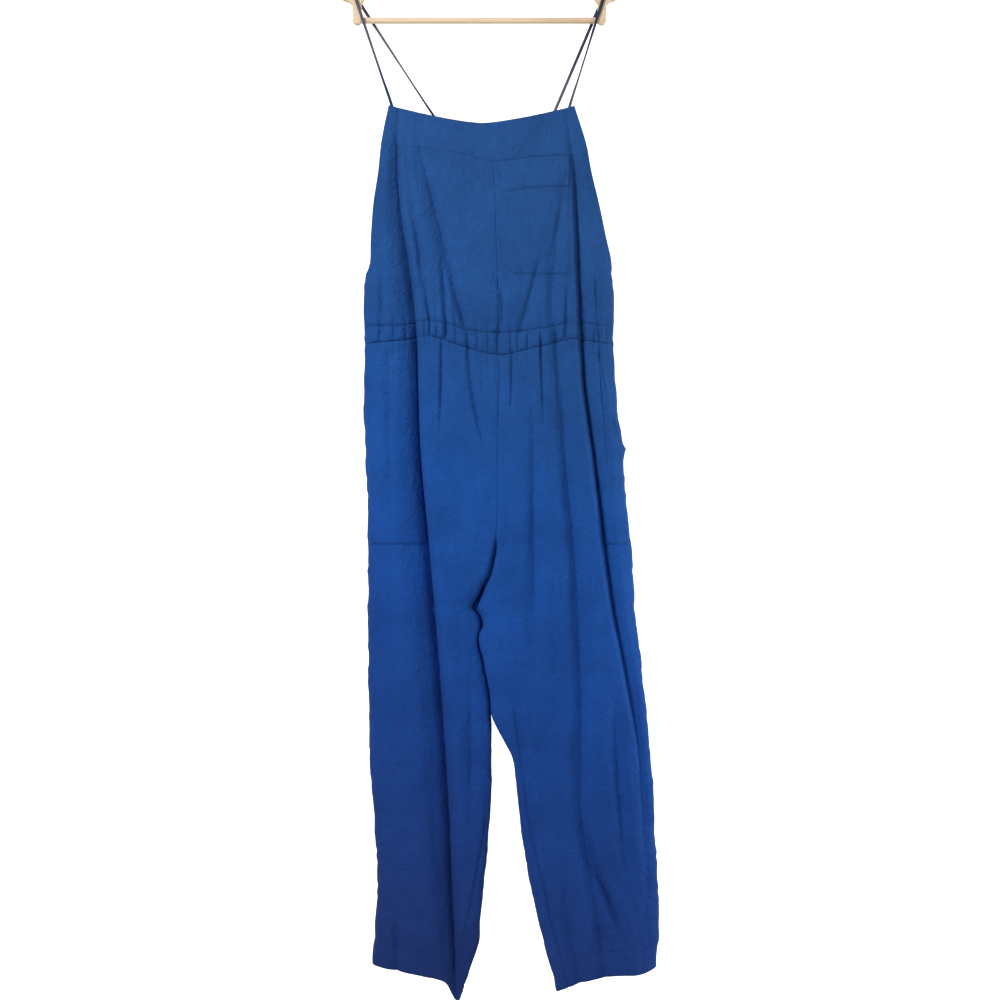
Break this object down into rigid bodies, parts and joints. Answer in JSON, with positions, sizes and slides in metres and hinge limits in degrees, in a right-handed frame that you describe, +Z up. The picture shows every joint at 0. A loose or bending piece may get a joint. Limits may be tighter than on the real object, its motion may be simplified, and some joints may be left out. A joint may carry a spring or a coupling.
{
  "type": "strappy linen jumpsuit on a wooden coat hanger",
  "caption": "Blue linen jumpsuit with thin straps, chest and side pockets, gathered elastic waist and wide legs, hanging empty from a wooden coat hanger.",
  "frame": {"origin": "inside top of the hanger's hook, where the rail bears", "axes": "+Z up, -Y towards the front of the jumpsuit, +X to the wearer's left as the jumpsuit faces the viewer"},
  "size_m": [0.492, 0.0987, 1.7059],
  "materials": {
    "linen": "matt plain-weave linen, softly creased",
    "strap": "narrow dark ribbon",
    "hanger_wood": "pale wood, satin varnish",
    "hook_steel": "bright plated wire"
  },
  "bodies": {
    "root": {"hanger_arms": "hanger_wood", "hanger_bar": "hanger_wood", "hanger_hook": "hook_steel", "strap_left": "strap", "strap_right": "strap", "front_band": "linen", "front_bodice_left": "linen", "front_bodice_right": "linen", "chest_pocket": "linen", "chest_pocket_flap": "linen", "back_bodice": "linen", "waist_casing_front": "linen", "waist_casing_back": "linen", "front_leg_left": "linen", "side_pocket_left": "linen", "back_leg_left": "linen", "front_leg_right": "linen", "side_pocket_right": "linen", "back_leg_right": "linen"}
  },
  "joints": []
}
